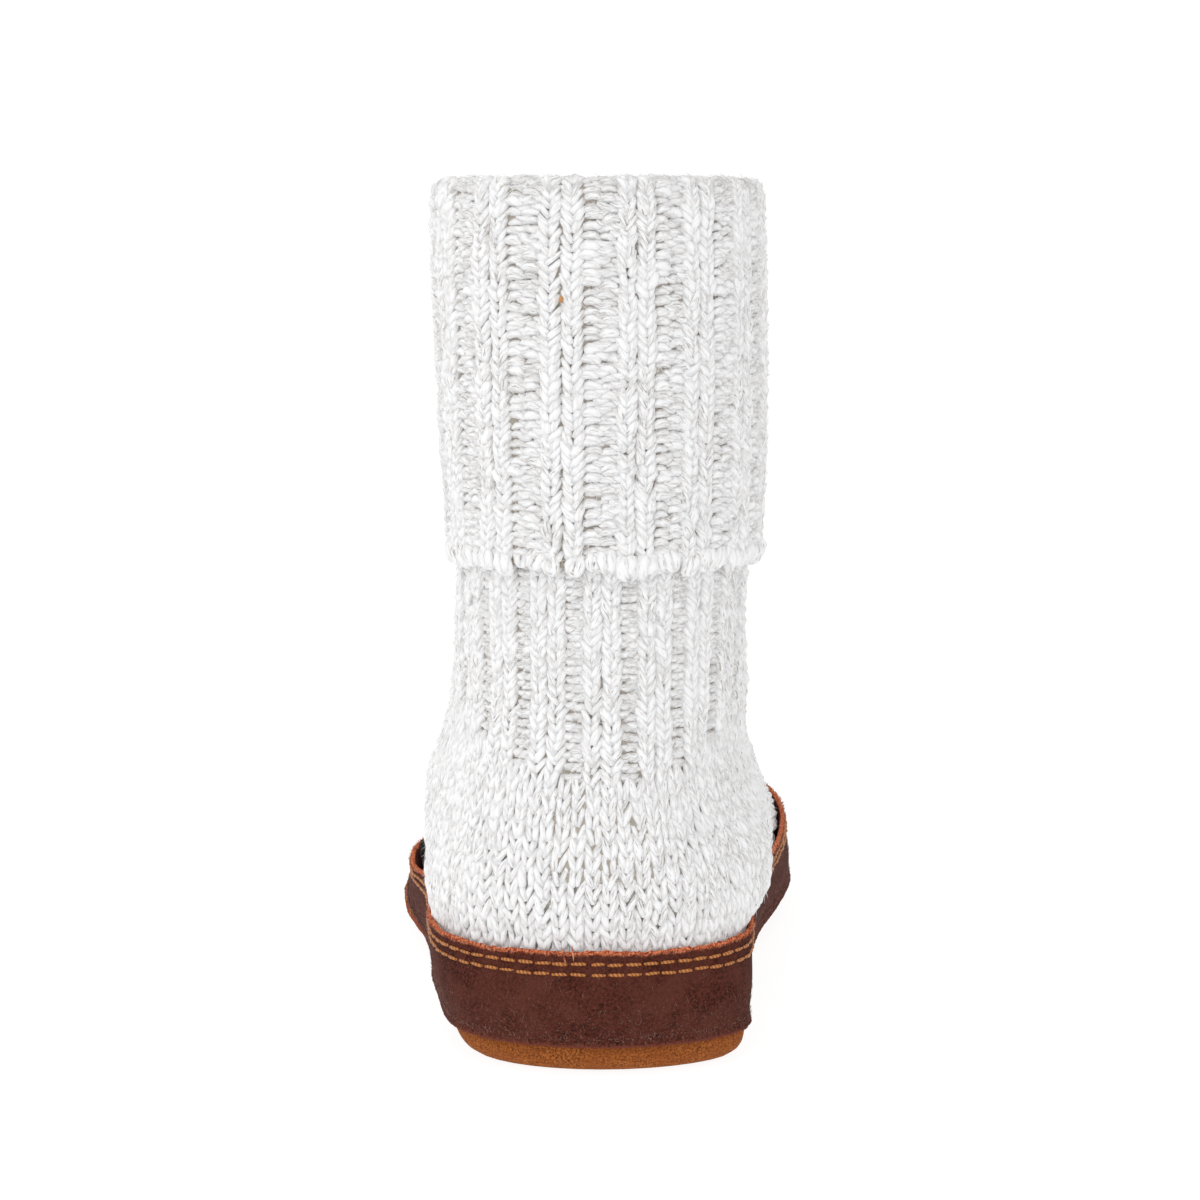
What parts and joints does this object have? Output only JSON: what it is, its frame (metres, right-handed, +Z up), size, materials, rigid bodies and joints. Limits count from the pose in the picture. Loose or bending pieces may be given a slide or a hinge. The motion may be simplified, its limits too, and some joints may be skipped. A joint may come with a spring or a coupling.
{
  "type": "slipper sock",
  "caption": "Left slipper sock: rib-knit shaft with a deep turned-down cuff, knit foot, stitched dark suede band and a tan suede cushion sole.",
  "frame": {"origin": "on the floor under the middle of the shoe's length and width", "axes": "+Y towards the toe, +Z up, +X towards the inner (medial) side of this left shoe"},
  "size_m": [0.1103, 0.268, 0.21],
  "materials": {
    "ragg_wool": "soft marled ragg-wool knit, off-white with light grey",
    "brown_suede": "dark brown brushed leather with a raw rust-coloured edge",
    "tan_suede": "tan suede with a short nap",
    "footbed_fleece": "short fleece",
    "black_tape": "woven tape, plain"
  },
  "bodies": {
    "root": {"knit_upper": "ragg_wool", "suede_band": "brown_suede", "suede_sole": "tan_suede", "footbed": "footbed_fleece", "side_tab": "black_tape"}
  },
  "joints": []
}
